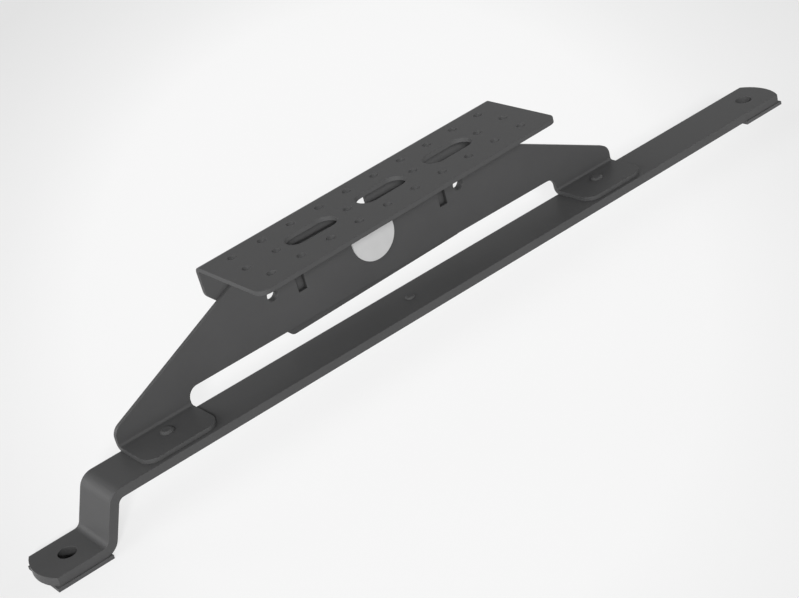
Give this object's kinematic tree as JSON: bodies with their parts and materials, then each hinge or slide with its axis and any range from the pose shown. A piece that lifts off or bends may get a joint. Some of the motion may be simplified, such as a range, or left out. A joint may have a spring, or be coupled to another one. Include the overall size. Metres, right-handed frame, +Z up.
{
  "type": "raised mounting bracket",
  "caption": "Stepped flat-bar rail bolted down at both ends, carrying a bridge-shaped sheet upright and a perforated L-shaped device plate on a pivot.",
  "frame": {"origin": "axis of the left bolt hole, at the underside of the left pad", "axes": "+X along the rail to the right bolt hole, +Y to the back, +Z up, square to the rail"},
  "size_m": [0.537, 0.061, 0.1059],
  "materials": {
    "powder_coat": "satin dark grey powder coat",
    "pad_coat": "matt dark grey",
    "disc_metal": "matt light grey",
    "fastener_coat": "satin dark grey"
  },
  "bodies": {
    "root": {"base_rail": "powder_coat", "left_pad": "pad_coat", "right_pad": "pad_coat", "upright": "powder_coat", "device_plate": "powder_coat", "pivot_disc": "disc_metal", "foot_rivets": "fastener_coat", "rail_screw": "fastener_coat"}
  },
  "joints": []
}
